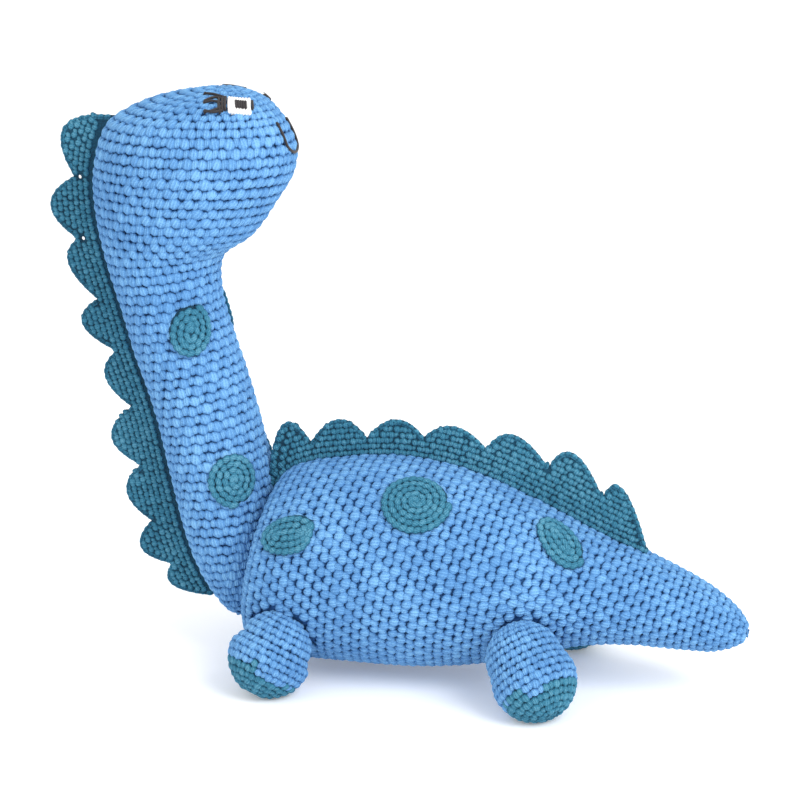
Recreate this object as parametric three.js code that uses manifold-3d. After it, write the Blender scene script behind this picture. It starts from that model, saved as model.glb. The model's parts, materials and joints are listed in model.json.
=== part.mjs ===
// Crocheted long-necked dinosaur, stuffed, standing on four short legs.
// Millimetres, +Z up, +X towards the tail, -Y is the animal's left side.
import * as THREE from 'three';
import { mergeVertices } from 'three/addons/utils/BufferGeometryUtils.js';
import Module from 'manifold-3d';

const wasm = await Module();
wasm.setup();

// ---- driving dimensions -------------------------------------------------
const coverThickness = 3.4;
const fitGap = 0.35;
const patchThickness = 2.4;
const spineThickness = 5;
const jointGap = 0.45;

const tubeColumns = 16;
const bodyRows = 14;
const neckRows = 17;
const legColumns = 12;
const spotSides = 10;

// Each rib of a stuffed tube is [x, z, x, z, half depth]: its two ends in the middle plane.
// The neck's ribs go from the back to the front, and the body's from the belly to the back.
const neckRibs = [
  [-73, 18, -73, 18, 0],
  [-83, 25, -63, 27, 12],
  [-91.5, 37, -56, 43, 19.5],
  [-98.5, 54, -53.5, 60, 23],
  [-105, 80, -57.5, 87, 24],
  [-110.5, 105, -64, 113.5, 24],
  [-115.5, 122, -69, 131, 24],
  [-121, 138, -74.3, 146.5, 24.5],
  [-126.5, 157.5, -79.3, 164, 25],
  [-132, 176, -78.5, 180.5, 27],
  [-136, 193.5, -64.5, 191, 31],
  [-137.5, 208, -54.5, 204.5, 34],
  [-137, 219, -46.5, 217.5, 35.5],
  [-134.5, 230, -45, 228.5, 35.5],
  [-128.5, 240, -49, 238.5, 33.5],
  [-113.5, 248, -55, 246.5, 26],
  [-95, 252.7, -63, 251.5, 14],
  [-75, 254.5, -75, 254.5, 0],
];
const bodyRibs = [
  [-61, 51, -61, 51, 0],
  [-65.5, 34, -57.5, 68, 18],
  [-67, 21.5, -54.5, 79.5, 28.5],
  [-66, 12.5, -51, 86.5, 36],
  [-58.5, 7, -43, 91, 41],
  [-46, 5, -29.5, 94.5, 44.5],
  [-20, 4.5, 0, 97.5, 46],
  [12, 5, 31, 93, 45],
  [45.5, 9.5, 61.5, 81.5, 37.5],
  [75, 18, 88, 69, 28.5],
  [99, 21.3, 109, 60.5, 22.5],
  [124.5, 20.8, 131, 50.5, 17],
  [138.5, 21, 143.5, 42.5, 12.5],
  [148, 24, 150.5, 35, 7],
  [153, 28.5, 153, 28.5, 0],
];

// Places where the stuffed tubes bend, with the direction of the tube there.
const neckPivot = new THREE.Vector3(-84, 0, 100);
const neckDirection = new THREE.Vector3(-0.24, 0, 0.97).normalize();
const neckBallRadius = 26.3;
const neckLeanBack = [-8, -6, -4, -2];
const tailPivot = new THREE.Vector3(112, 0, 38.2);
const tailDirection = new THREE.Vector3(0.97, 0, -0.24).normalize();
const tailBallRadius = 23;

const footRadius = 17.6;
const footCapStart = 7.3;
const legSwing = 10;
const legs = [
  { name: 'front', hip: [-44.4, 43, 20.8], hipRadius: 15, foot: [-46, 45, 17.1] },
  { name: 'rear', hip: [63.6, 40.7, 23.9], hipRadius: 15.5, foot: [68.6, 45, 17.1] },
];
const sides = [
  { name: 'left', sign: -1 },
  { name: 'right', sign: 1 },
];

// Scalloped plates: [x, z] of every tip and of every valley between two tips.
const neckPlateTips = [
  [-149.5, 231], [-157.5, 200.5], [-150, 174.5], [-144.5, 148], [-134.5, 124.5],
  [-132.5, 97], [-126, 72], [-120, 46.5], [-105.5, 30],
];
const neckPlateValleys = [
  [-146, 213.5], [-145.5, 186], [-137, 159.5], [-129, 136.5], [-122.5, 111.5],
  [-119, 85], [-114.5, 59.5], [-105.5, 40],
];
const neckPlateEnds = [[-130, 241.5], [-87, 26.5]];
const neckPlateSplit = { middleAngle: 163, halfAngle: 5 };
const backPlateTips = [
  [-51.5, 107.5], [-27.5, 111.5], [-2, 113], [24, 111.5], [50, 109.5], [76, 103], [97.5, 88.5],
];
const backPlateValleys = [
  [-40, 100.5], [-15, 104], [10.5, 106], [38, 102.5], [65, 96], [88.5, 84.5],
];
const backPlateEnds = [[-53.5, 88.5], [108, 63.5]];

// Sewn-on spots: height or length along the tube, angle around it from the side, half sizes, tilt.
const spots = [
  { name: 'neck_spot', tube: 'neck', z: 152, angle: 34, size: [9.6, 11.8], tilt: 0 },
  { name: 'chest_spot', tube: 'neck', z: 85, angle: 36, size: [11, 12], tilt: 10 },
  { name: 'shoulder_spot', tube: 'body', x: -40, angle: 27, size: [13, 9.6], tilt: 12 },
  { name: 'flank_spot', tube: 'body', x: 14, angle: 50, size: [15, 14.4], tilt: 0 },
  { name: 'rump_spot', tube: 'body', x: 74, angle: 55, size: [13.5, 9.2], tilt: -40 },
];

const eye = { x: -65.8, z: 247.6, size: [4.4, 3.9] };
const pupil = { x: -64.9, z: 248, size: [2.4, 2] };
const threadRadius = 0.6;
const lashRoot = { x: -72.5, z: 247 };
const lashTips = [[-79.5, 249.8], [-80, 247.6], [-79.5, 244.5]];
const mouthPoints = [[-51.2, 239.7], [-48.6, 235], [-46.8, 230]];

const materials = {
  cover: { color: 0x71abe7, roughness: 0.9 },
  trim: { color: 0x357596, roughness: 0.9 },
  spot: { color: 0x4583a1, roughness: 0.9 },
  stuffing: { color: 0xf2efe8, roughness: 1 },
  eyeWhite: { color: 0xf4f5f4, roughness: 0.55 },
  darkThread: { color: 0x231c19, roughness: 0.8 },
};

// ---- solids -------------------------------------------------------------
function toSolid(geometry) {
  const bare = geometry.clone();
  bare.deleteAttribute('normal');
  bare.deleteAttribute('uv');
  const merged = mergeVertices(bare, 1e-4);
  const vertProperties = new Float32Array(merged.attributes.position.array);
  const triVerts = new Uint32Array(merged.index.array);
  const solid = new wasm.Manifold(new wasm.Mesh({ numProp: 3, vertProperties, triVerts }));
  return solid;
}

function toGeometry(solid) {
  const { vertProperties, triVerts } = solid.getMesh();
  const geometry = new THREE.BufferGeometry();
  geometry.setAttribute('position', new THREE.BufferAttribute(new Float32Array(vertProperties), 3));
  geometry.setIndex(new THREE.BufferAttribute(new Uint32Array(triVerts), 1));
  geometry.computeVertexNormals();
  return geometry;
}

function ribCurves(ribs) {
  const first = ribs.map((rib) => new THREE.Vector3(rib[0], 0, rib[1]));
  const second = ribs.map((rib) => new THREE.Vector3(rib[2], 0, rib[3]));
  const depth = ribs.map((rib) => new THREE.Vector3(rib[4], 0, 0));
  return [first, second, depth].map(
    (points) => new THREE.CatmullRomCurve3(points, false, 'catmullrom', 0.5),
  );
}

// A point of a stuffed tube: t runs along the ribs, the angle around them from the left side.
function tubePoint(curves, t, angle) {
  const first = curves[0].getPoint(t);
  const second = curves[1].getPoint(t);
  const depth = Math.max(0, curves[2].getPoint(t).x);
  const middle = first.clone().add(second).multiplyScalar(0.5);
  const reach = second.clone().sub(first).multiplyScalar(0.5 * Math.sin(angle));
  middle.add(reach);
  middle.y -= depth * Math.cos(angle);
  return middle;
}

// The turn is 1 or -1, whichever leaves the faces pointing outwards.
function tubeGeometry(curves, rows, turn) {
  const geometry = new THREE.SphereGeometry(1, tubeColumns, rows);
  const position = geometry.attributes.position;
  const corner = new THREE.Vector3();
  for (let i = 0; i < position.count; i += 1) {
    corner.fromBufferAttribute(position, i);
    const t = Math.acos(THREE.MathUtils.clamp(corner.y, -1, 1)) / Math.PI;
    const around = turn * Math.atan2(corner.z, corner.x);
    const point = tubePoint(curves, t, around);
    position.setXYZ(i, point.x, point.y, point.z);
  }
  geometry.deleteAttribute('normal');
  geometry.deleteAttribute('uv');
  const merged = mergeVertices(geometry, 1e-3);
  merged.computeVertexNormals();
  return merged;
}

// The same tube with its surface moved out (or in, when negative) by a distance.
function tubeSolid(geometry, distance) {
  const moved = geometry.clone();
  const position = moved.attributes.position;
  const normal = geometry.attributes.normal;
  const corner = new THREE.Vector3();
  const outward = new THREE.Vector3();
  for (let i = 0; i < position.count; i += 1) {
    corner.fromBufferAttribute(position, i);
    outward.fromBufferAttribute(normal, i);
    corner.addScaledVector(outward, distance);
    position.setXYZ(i, corner.x, corner.y, corner.z);
  }
  return toSolid(moved);
}

function ballSolid(centre, radius) {
  const ball = new THREE.SphereGeometry(radius, 24, 16);
  ball.translate(centre.x, centre.y, centre.z);
  return toSolid(ball);
}

// Everything on the far side of a point, seen along a direction.
function halfSpace(point, direction) {
  const size = 500;
  const box = new THREE.BoxGeometry(size, size, size);
  box.translate(0, 0, size / 2);
  const turn = new THREE.Quaternion().setFromUnitVectors(new THREE.Vector3(0, 0, 1), direction);
  box.applyQuaternion(turn);
  box.translate(point.x, point.y, point.z);
  return toSolid(box);
}

// Cuts a tube at a ball joint: the first part keeps the ball, the second has the cup.
function splitAtBall(solid, pivot, direction, radius) {
  const beyond = halfSpace(pivot, direction);
  const ball = ballSolid(pivot, radius);
  const cup = ballSolid(pivot, radius + jointGap);
  const before = solid.subtract(beyond.subtract(ball));
  const after = solid.intersect(beyond).subtract(cup);
  return [before, after];
}

const group = new THREE.Group();

function addPiece(name, geometry, materialName) {
  const finish = materials[materialName];
  const material = new THREE.MeshStandardMaterial({ ...finish, metalness: 0 });
  const mesh = new THREE.Mesh(geometry, material);
  mesh.name = name;
  group.add(mesh);
}

function addSolid(name, solid, materialName) {
  addPiece(name, toGeometry(solid), materialName);
}

// ---- neck, head, body and tail ------------------------------------------
const neckCurves = ribCurves(neckRibs);
const bodyCurves = ribCurves(bodyRibs);
const neckShape = tubeGeometry(neckCurves, neckRows, 1);
const bodyShape = tubeGeometry(bodyCurves, bodyRows, -1);

const neckOuter = tubeSolid(neckShape, 0);
const neckLining = tubeSolid(neckShape, -coverThickness);
const neckFilling = tubeSolid(neckShape, -coverThickness - fitGap);
const neckClear = tubeSolid(neckShape, fitGap);
const bodyOuter = tubeSolid(bodyShape, 0);
const bodyLining = tubeSolid(bodyShape, -coverThickness);
const bodyFilling = tubeSolid(bodyShape, -coverThickness - fitGap);
const bodyClear = tubeSolid(bodyShape, fitGap);

const neckCovers = splitAtBall(neckOuter.subtract(neckLining), neckPivot, neckDirection, neckBallRadius);
const neckStuffings = splitAtBall(neckFilling, neckPivot, neckDirection, neckBallRadius);
addSolid('chest_cover', neckCovers[0], 'cover');
addSolid('chest_stuffing', neckStuffings[0], 'stuffing');
addSolid('neck_head_cover', neckCovers[1], 'cover');
addSolid('neck_head_stuffing', neckStuffings[1], 'stuffing');

const bodyShell = bodyOuter.subtract(bodyLining).subtract(neckClear);
const bodyCovers = splitAtBall(bodyShell, tailPivot, tailDirection, tailBallRadius);
const bodyCore = bodyFilling.subtract(neckClear);
const bodyStuffings = splitAtBall(bodyCore, tailPivot, tailDirection, tailBallRadius);
addSolid('body_cover', bodyCovers[0], 'cover');
addSolid('body_stuffing', bodyStuffings[0], 'stuffing');
addSolid('tail_cover', bodyCovers[1], 'cover');
addSolid('tail_stuffing', bodyStuffings[1], 'stuffing');

const seamRadius = 2.2;
const seamRing = tubeSolid(neckShape, seamRadius)
  .subtract(neckClear)
  .intersect(tubeSolid(bodyShape, seamRadius).subtract(bodyClear));
addSolid('neck_seam_yarn', seamRing, 'cover');

// ---- legs -----------------------------------------------------------------
// Two round ends and the straight flank that touches both, turned about +Y.
function legShape(length, hipRadius, endRadius) {
  const flank = Math.asin((hipRadius - endRadius) / length);
  const profile = new THREE.Path();
  profile.moveTo(0, -hipRadius);
  profile.absarc(0, 0, hipRadius, -Math.PI / 2, flank, false);
  profile.absarc(0, length, endRadius, flank, Math.PI / 2, false);
  const points = profile.getPoints(4).map((point) => new THREE.Vector2(Math.max(0, point.x), point.y));
  points[0].x = 0;
  points[points.length - 1].x = 0;
  return new THREE.LatheGeometry(points, legColumns);
}

const bodyTurns = [-legSwing, 0, legSwing];

for (const leg of legs) {
  for (const side of sides) {
    const hip = new THREE.Vector3(leg.hip[0], side.sign * leg.hip[1], leg.hip[2]);
    const foot = new THREE.Vector3(leg.foot[0], side.sign * leg.foot[1], leg.foot[2]);
    const along = foot.clone().sub(hip);
    const length = along.length();
    along.normalize();
    const turn = new THREE.Quaternion().setFromUnitVectors(new THREE.Vector3(0, 1, 0), along);
    const place = (geometry) => {
      geometry.applyQuaternion(turn);
      geometry.translate(hip.x, hip.y, hip.z);
      return toSolid(geometry);
    };
    // The body is cleared at every angle of the hip, so that the leg can swing.
    let clearance = halfSpace(new THREE.Vector3(0, 0, 0), new THREE.Vector3(0, 0, -1));
    for (const degrees of bodyTurns) {
      const turned = bodyClear
        .translate([-hip.x, -hip.y, -hip.z])
        .rotate([0, degrees, 0])
        .translate([hip.x, hip.y, hip.z]);
      clearance = clearance.add(turned);
    }
    const layer = (depth) => place(legShape(length, leg.hipRadius - depth, footRadius - depth));
    const outer = layer(0).subtract(clearance);
    const lining = layer(coverThickness);
    const filling = layer(coverThickness + fitGap);
    const floorClear = halfSpace(new THREE.Vector3(0, 0, coverThickness), new THREE.Vector3(0, 0, -1));
    const shell = outer.subtract(lining.subtract(floorClear));
    const capStart = hip.clone().addScaledVector(along, length + footCapStart);
    const legEnd = capStart.clone().addScaledVector(along, -fitGap);
    const prefix = `${leg.name}_${side.name}`;
    addSolid(`${prefix}_leg_cover`, shell.subtract(halfSpace(legEnd, along)), 'cover');
    addSolid(`${prefix}_foot_cap`, shell.intersect(halfSpace(capStart, along)), 'trim');
    const fillingFloor = new THREE.Vector3(0, 0, coverThickness + fitGap);
    const core = filling.subtract(clearance).subtract(halfSpace(fillingFloor, new THREE.Vector3(0, 0, -1)));
    addSolid(`${prefix}_leg_stuffing`, core, 'stuffing');
  }
}

// ---- plates along the neck and the back -------------------------------------
// The outer edge: one arch through each tip, pinched at the valleys.
function plateEdge(start, tips, valleys, end) {
  const path = new THREE.Path();
  path.moveTo(start[0], start[1]);
  let from = new THREE.Vector2(...start);
  tips.forEach((tip, i) => {
    const to = new THREE.Vector2(...(valleys[i] ?? end));
    const middle = from.clone().add(to).multiplyScalar(0.5);
    const control = new THREE.Vector2(...tip).multiplyScalar(2).sub(middle);
    path.quadraticCurveTo(control.x, control.y, to.x, to.y);
    from = to;
  });
  return path.getPoints(6);
}

function stripSolid(outline) {
  const shape = new THREE.Shape(outline);
  const strip = new THREE.ExtrudeGeometry(shape, {
    depth: spineThickness,
    bevelEnabled: false,
    curveSegments: 6,
  });
  strip.translate(0, 0, -spineThickness / 2);
  strip.rotateX(Math.PI / 2);
  return toSolid(strip);
}

// A wedge from the pivot, between two angles measured from +X towards +Z.
function wedgeSolid(pivot, fromDegrees, toDegrees) {
  const reach = 400;
  const corners = [new THREE.Vector2(pivot.x, pivot.z)];
  for (const degrees of [fromDegrees, (fromDegrees + toDegrees) / 2, toDegrees]) {
    const angle = THREE.MathUtils.degToRad(degrees);
    const x = pivot.x + reach * Math.cos(angle);
    const z = pivot.z + reach * Math.sin(angle);
    corners.push(new THREE.Vector2(x, z));
  }
  const wedge = new THREE.ExtrudeGeometry(new THREE.Shape(corners), {
    depth: 4 * spineThickness,
    bevelEnabled: false,
  });
  wedge.translate(0, 0, -2 * spineThickness);
  wedge.rotateX(Math.PI / 2);
  return toSolid(wedge);
}

const neckBack = plateEdge(neckPlateEnds[0], neckPlateTips, neckPlateValleys, neckPlateEnds[1]);
const neckInner = [...neckPlateEnds].reverse().map((end) => new THREE.Vector2(end[0] + 14, end[1] + 2));
const neckStrip = stripSolid([...neckBack, ...neckInner, new THREE.Vector2(-100, 150)])
  .subtract(tubeSolid(neckShape, fitGap));
const upperWedge = wedgeSolid(neckPivot, 60, neckPlateSplit.middleAngle - neckPlateSplit.halfAngle);
const lowerWedge = wedgeSolid(neckPivot, neckPlateSplit.middleAngle + neckPlateSplit.halfAngle, 300);
// The chest plates are cleared of the neck all the way as it leans back.
const bendingNeck = splitAtBall(tubeSolid(neckShape, 2 * fitGap), neckPivot, neckDirection, neckBallRadius)[1];
let chestStrip = neckStrip.intersect(lowerWedge);
for (const degrees of neckLeanBack) {
  const turned = bendingNeck
    .translate([-neckPivot.x, -neckPivot.y, -neckPivot.z])
    .rotate([0, degrees, 0])
    .translate([neckPivot.x, neckPivot.y, neckPivot.z]);
  chestStrip = chestStrip.subtract(turned);
}
addSolid('neck_plates', neckStrip.intersect(upperWedge), 'trim');
addSolid('chest_plates', chestStrip, 'trim');

const backEdge = plateEdge(backPlateEnds[0], backPlateTips, backPlateValleys, backPlateEnds[1]);
const backInner = [new THREE.Vector2(100, 50), new THREE.Vector2(-40, 70)];
const backStrip = stripSolid([...backEdge, ...backInner]).subtract(bodyClear).subtract(neckClear);
addSolid('back_plates', backStrip, 'trim');

// ---- patches that lie on the covers -----------------------------------------
function directionFrame(outward) {
  const turn = new THREE.Matrix4();
  const lengthways = new THREE.Vector3(1, 0, 0);
  lengthways.addScaledVector(outward, -lengthways.dot(outward)).normalize();
  const upward = new THREE.Vector3().crossVectors(outward, lengthways);
  return turn.makeBasis(lengthways, upward, outward);
}

function surfaceNormal(curves, t, angle) {
  const step = 0.004;
  const alongTube = tubePoint(curves, t + step, angle).sub(tubePoint(curves, t - step, angle));
  const aroundTube = tubePoint(curves, t, angle + step).sub(tubePoint(curves, t, angle - step));
  const normal = new THREE.Vector3().crossVectors(alongTube, aroundTube).normalize();
  const middle = tubePoint(curves, t, angle).add(tubePoint(curves, t, angle + Math.PI));
  const outward = tubePoint(curves, t, angle).sub(middle.multiplyScalar(0.5));
  return normal.dot(outward) < 0 ? normal.negate() : normal;
}

// Finds t on a tube where the surface at this angle reaches a value on one axis.
function findAlong(curves, angle, axis, value) {
  let low = 0.12;
  let high = 0.97;
  for (let i = 0; i < 40; i += 1) {
    const middle = (low + high) / 2;
    const reached = tubePoint(curves, middle, angle)[axis];
    if (reached < value) {
      low = middle;
    } else {
      high = middle;
    }
  }
  return (low + high) / 2;
}

// The t and the angle of the surface point that has this x and z.
function findPoint(curves, x, z) {
  let angle = 0.3;
  let t = findAlong(curves, angle, 'z', z);
  for (let i = 0; i < 30; i += 1) {
    const first = curves[0].getPoint(t);
    const second = curves[1].getPoint(t);
    const share = (x - (first.x + second.x) / 2) / ((second.x - first.x) / 2);
    angle = Math.asin(THREE.MathUtils.clamp(share, -0.98, 0.98));
    t = findAlong(curves, angle, 'z', z);
  }
  return { t, angle };
}

function patchSolid(shape, curves, place, size, tiltDegrees, lift, thickness) {
  const point = tubePoint(curves, place.t, place.angle);
  const outward = surfaceNormal(curves, place.t, place.angle);
  const oval = new THREE.Shape();
  oval.absellipse(0, 0, size[0], size[1], 0, 2 * Math.PI, false, THREE.MathUtils.degToRad(tiltDegrees));
  const prism = new THREE.ExtrudeGeometry(new THREE.Shape(oval.getPoints(spotSides).slice(0, -1)), {
    depth: 24,
    bevelEnabled: false,
  });
  prism.translate(0, 0, -9);
  prism.applyMatrix4(directionFrame(outward));
  prism.translate(point.x, point.y, point.z);
  const layer = tubeSolid(shape, lift + thickness).subtract(tubeSolid(shape, lift));
  return layer.intersect(toSolid(prism));
}

function addBothSides(name, solid, materialName) {
  addSolid(`left_${name}`, solid, materialName);
  addSolid(`right_${name}`, solid.mirror([0, 1, 0]), materialName);
}

for (const spot of spots) {
  const onNeck = spot.tube === 'neck';
  const curves = onNeck ? neckCurves : bodyCurves;
  const shape = onNeck ? neckShape : bodyShape;
  const angle = THREE.MathUtils.degToRad(spot.angle);
  const t = onNeck ? findAlong(curves, angle, 'z', spot.z) : findAlong(curves, angle, 'x', spot.x);
  const patch = patchSolid(shape, curves, { t, angle }, spot.size, spot.tilt, fitGap, patchThickness);
  const clear = onNeck ? tubeSolid(bodyShape, seamRadius + fitGap) : tubeSolid(neckShape, seamRadius + fitGap);
  addBothSides(spot.name, patch.subtract(clear), 'spot');
}

const eyePlace = findPoint(neckCurves, eye.x, eye.z);
const eyeThickness = 1;
const eyeWhite = patchSolid(neckShape, neckCurves, eyePlace, eye.size, 0, fitGap, eyeThickness);
addBothSides('eye_white', eyeWhite, 'eyeWhite');
const pupilPlace = findPoint(neckCurves, pupil.x, pupil.z);
const pupilLift = 2 * fitGap + eyeThickness;
const pupilPatch = patchSolid(neckShape, neckCurves, pupilPlace, pupil.size, 0, pupilLift, threadRadius);
addBothSides('pupil', pupilPatch, 'darkThread');

// Stitched thread that lies on the head through a few surface points.
function threadSolid(places, samples) {
  const points = places.map(({ t, angle }) => {
    const point = tubePoint(neckCurves, t, angle);
    return point.addScaledVector(surfaceNormal(neckCurves, t, angle), threadRadius + 2 * fitGap);
  });
  const section = new THREE.Shape();
  section.absarc(0, 0, threadRadius, 0, 2 * Math.PI, false);
  const thread = new THREE.ExtrudeGeometry(section, {
    steps: samples,
    curveSegments: 3,
    extrudePath: new THREE.CatmullRomCurve3(points),
  });
  return toSolid(thread);
}

const root = findPoint(neckCurves, lashRoot.x, lashRoot.z);
let lashes = null;
for (const tip of lashTips) {
  const strand = threadSolid([root, findPoint(neckCurves, tip[0], tip[1])], 2);
  lashes = lashes ? lashes.add(strand) : strand;
}
addBothSides('lashes', lashes, 'darkThread');

const leftMouth = mouthPoints.map((point) => findPoint(neckCurves, point[0], point[1]));
const rightMouth = leftMouth.map(({ t, angle }) => ({ t, angle: Math.PI - angle }));
const mouthBottom = { t: leftMouth[2].t - 0.01, angle: Math.PI / 2 };
const mouth = threadSolid([...leftMouth, mouthBottom, ...rightMouth.reverse()], 24);
addSolid('mouth_thread', mouth, 'darkThread');

// The origin is under the middle of the toy, on the surface that it stands on.
const wholeBox = new THREE.Box3().setFromObject(group);
const middle = wholeBox.getCenter(new THREE.Vector3());
group.position.set(-middle.x, -middle.y, -wholeBox.min.z);
group.updateMatrixWorld(true);

export default group;
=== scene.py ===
import json
import math
import random

import bmesh
import bpy
from mathutils import Matrix, Vector
from mathutils.bvhtree import BVHTree


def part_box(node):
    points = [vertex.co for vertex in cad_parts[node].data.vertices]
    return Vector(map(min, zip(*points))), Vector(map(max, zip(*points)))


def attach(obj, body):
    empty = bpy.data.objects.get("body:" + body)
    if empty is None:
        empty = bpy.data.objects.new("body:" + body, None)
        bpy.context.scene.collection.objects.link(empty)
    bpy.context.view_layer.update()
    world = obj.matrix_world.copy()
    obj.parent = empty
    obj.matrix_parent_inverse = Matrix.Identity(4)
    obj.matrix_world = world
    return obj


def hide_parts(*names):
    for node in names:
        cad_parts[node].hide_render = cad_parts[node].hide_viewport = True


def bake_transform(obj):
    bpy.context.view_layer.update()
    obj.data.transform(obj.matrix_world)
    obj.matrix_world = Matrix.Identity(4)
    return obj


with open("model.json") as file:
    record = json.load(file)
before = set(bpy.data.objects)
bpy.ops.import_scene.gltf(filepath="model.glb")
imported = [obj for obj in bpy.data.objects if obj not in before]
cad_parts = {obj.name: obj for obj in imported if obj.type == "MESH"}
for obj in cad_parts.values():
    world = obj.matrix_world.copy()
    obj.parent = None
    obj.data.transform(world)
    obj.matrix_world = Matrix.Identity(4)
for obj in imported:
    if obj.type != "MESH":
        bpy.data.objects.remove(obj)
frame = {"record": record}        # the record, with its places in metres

random.seed(11)     # every run lays the same stitches
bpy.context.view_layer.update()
mm = 0.001
tailTip = 153 * mm     # from the middle of the back, where the ribs below are measured from
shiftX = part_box("tail_cover")[1].x - tailTip
scene = bpy.context.scene


# camera, floor and light

camera = {
    "azimuth": 14, "elevation": 14,     # degrees round from the toy's left side, and above the floor
    "distance": 1.0, "height": 0.1218, "lens": 104.65, "sensor": 36,
}


def aimCamera(values):
    az, el = math.radians(values["azimuth"]), math.radians(values["elevation"])
    target = Vector((shiftX, 0, values["height"]))
    away = Vector((math.sin(az) * math.cos(el), -math.cos(az) * math.cos(el), math.sin(el)))
    data = bpy.data.cameras.new("camera")
    data.lens = values["lens"]
    data.sensor_width = values["sensor"]
    eye = bpy.data.objects.new("camera", data)
    eye.location = target + values["distance"] * away
    eye.rotation_euler = (-away).to_track_quat("-Z", "Y").to_euler()
    scene.collection.objects.link(eye)
    scene.camera = eye


studio = {
    "skyStrength": 1.05, "skyColour": (1, 1, 1, 1), "lampsAimAt": (0, 0, 0.09),
    "keyPlace": (0.95, -0.72, 1.0), "keySize": 0.9, "keyPower": 15.0,
    "fillPlace": (-0.9, -1.1, 0.75), "fillSize": 1.2, "fillPower": 2.2,
    "floorSize": 12.0, "floorColour": (0.93, 0.935, 0.95), "floorPaler": 1.02, "floorGlow": 0.18,
}


def areaLight(name, place, size, power):
    data = bpy.data.lights.new(name, "AREA")
    data.shape = "DISK"
    data.size = size
    data.energy = power
    lamp = bpy.data.objects.new(name, data)
    lamp.location = place
    lamp.rotation_euler = (Vector(studio["lampsAimAt"]) - Vector(place)).to_track_quat("-Z", "Y").to_euler()
    scene.collection.objects.link(lamp)


aimCamera(camera)
areaLight("key", studio["keyPlace"], studio["keySize"], studio["keyPower"])
areaLight("fill", studio["fillPlace"], studio["fillSize"], studio["fillPower"])
world = bpy.data.worlds.new("studio")
world.use_nodes = True
sky = world.node_tree.nodes["Background"]
sky.inputs["Color"].default_value = studio["skyColour"]
sky.inputs["Strength"].default_value = studio["skyStrength"]
scene.world = world
scene.view_settings.view_transform = "Standard"
print("camera and light ready")


# shader maths: an expression on these values adds its nodes

class Value:
    def __init__(self, shader, socket):
        self.shader, self.socket = shader, socket

    def maths(self, operation, *others):
        return self.shader.node("ShaderNodeMath", {"operation": operation}, (self,) + others)

    def output(self, number):     # another output of the same node
        return Value(self.shader, self.socket.node.outputs[number])

    def __add__(self, other):
        return self.maths("ADD", other)

    def __radd__(self, other):
        return self.maths("ADD", other)

    def __sub__(self, other):
        return self.maths("SUBTRACT", other)

    def __rsub__(self, other):
        return self.shader.node("ShaderNodeMath", {"operation": "SUBTRACT"}, (other, self))

    def __mul__(self, other):
        return self.maths("MULTIPLY", other)

    def __rmul__(self, other):
        return self.maths("MULTIPLY", other)

    def __pow__(self, other):
        return self.maths("POWER", other)

    def sine(self):
        return self.maths("SINE")

    def clamp(self):
        return self.shader.node("ShaderNodeClamp", {}, (self, 0.0, 1.0))


class Shader:
    def __init__(self, name, roughness, **fixed):
        self.material = bpy.data.materials.new(name)
        self.material.use_nodes = True
        self.tree = self.material.node_tree
        self.surface = self.tree.nodes["Principled BSDF"]
        self.surface.inputs["Roughness"].default_value = roughness
        for socket, value in fixed.items():
            self.surface.inputs[socket.replace("_", " ")].default_value = value

    # any node: its type, its settings, then the values or links of its sockets, and the output wanted
    def node(self, kind, settings, inputs=(), output=0):
        made = self.tree.nodes.new(kind)
        for key, value in settings.items():
            if key == "stops":
                while len(made.color_ramp.elements) < len(value):
                    made.color_ramp.elements.new(1.0)
                for element, (place, colour) in zip(made.color_ramp.elements, value):
                    element.position, element.color = place, colour
            else:
                setattr(made, key, value)
        pairs = inputs.items() if isinstance(inputs, dict) else enumerate(inputs)
        for key, value in pairs:
            if isinstance(value, Value):
                self.tree.links.new(value.socket, made.inputs[key])
            else:
                made.inputs[key].default_value = value
        return Value(self, made.outputs[output])

    def mix(self, share, first, second):
        return self.node("ShaderNodeMix", {"data_type": "RGBA"}, {0: share, 6: first, 7: second}, 2)

    def strands(self, scale, detail):     # fine noise that stays with the piece
        where = self.node("ShaderNodeTexCoord", {}, (), "Object")
        return self.node("ShaderNodeTexNoise", {}, {"Vector": where, "Scale": scale, "Detail": detail})

    def feed(self, socket, value):
        self.tree.links.new(value.socket, self.surface.inputs[socket])


def colour(red, green, blue):     # from the usual 0 to 255 screen values
    def linear(c):
        c = c / 255
        return c / 12.92 if c <= 0.04045 else ((c + 0.055) / 1.055) ** 2.4
    return (linear(red), linear(green), linear(blue), 1.0)


# each yarn's first colour is painted shade, for the edges of the loops and the fabric showing between them
cotton = {
    "blue": {
        "creviceShade": colour(19, 58, 112), "low": colour(50, 100, 154), "high": colour(91, 144, 197),
        "fibre": colour(120, 174, 218),
    },
    "teal": {
        "creviceShade": colour(7, 38, 55), "low": colour(23, 77, 102), "high": colour(52, 117, 144),
        "fibre": colour(88, 146, 170),
    },
    "roughness": 0.86, "sheen": 0.25, "sheenRoughness": 0.5, "specular": 0.25,
    "bright": 0.16, "middle": 0.62, "edgeShadePower": 2.3,     # painted shade: a loop is painted light in its middle and dark at its edge, where the loops meet
    "plies": 3.0, "plySlant": (1.1, 0.75), "plyTone": 0.13, "plyBump": 0.8, "plyHeight": 0.00032,
    "fibreScale": 2100.0, "fibreTone": 0.7, "fibreBump": 0.7, "fibreHeight": 0.00014,
    "patchScale": 26.0, "patchTone": 0.45, "toneSpread": 0.15, "detail": 3.0,
    "lowAt": 0.36, "highAt": 0.8,
}
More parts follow.
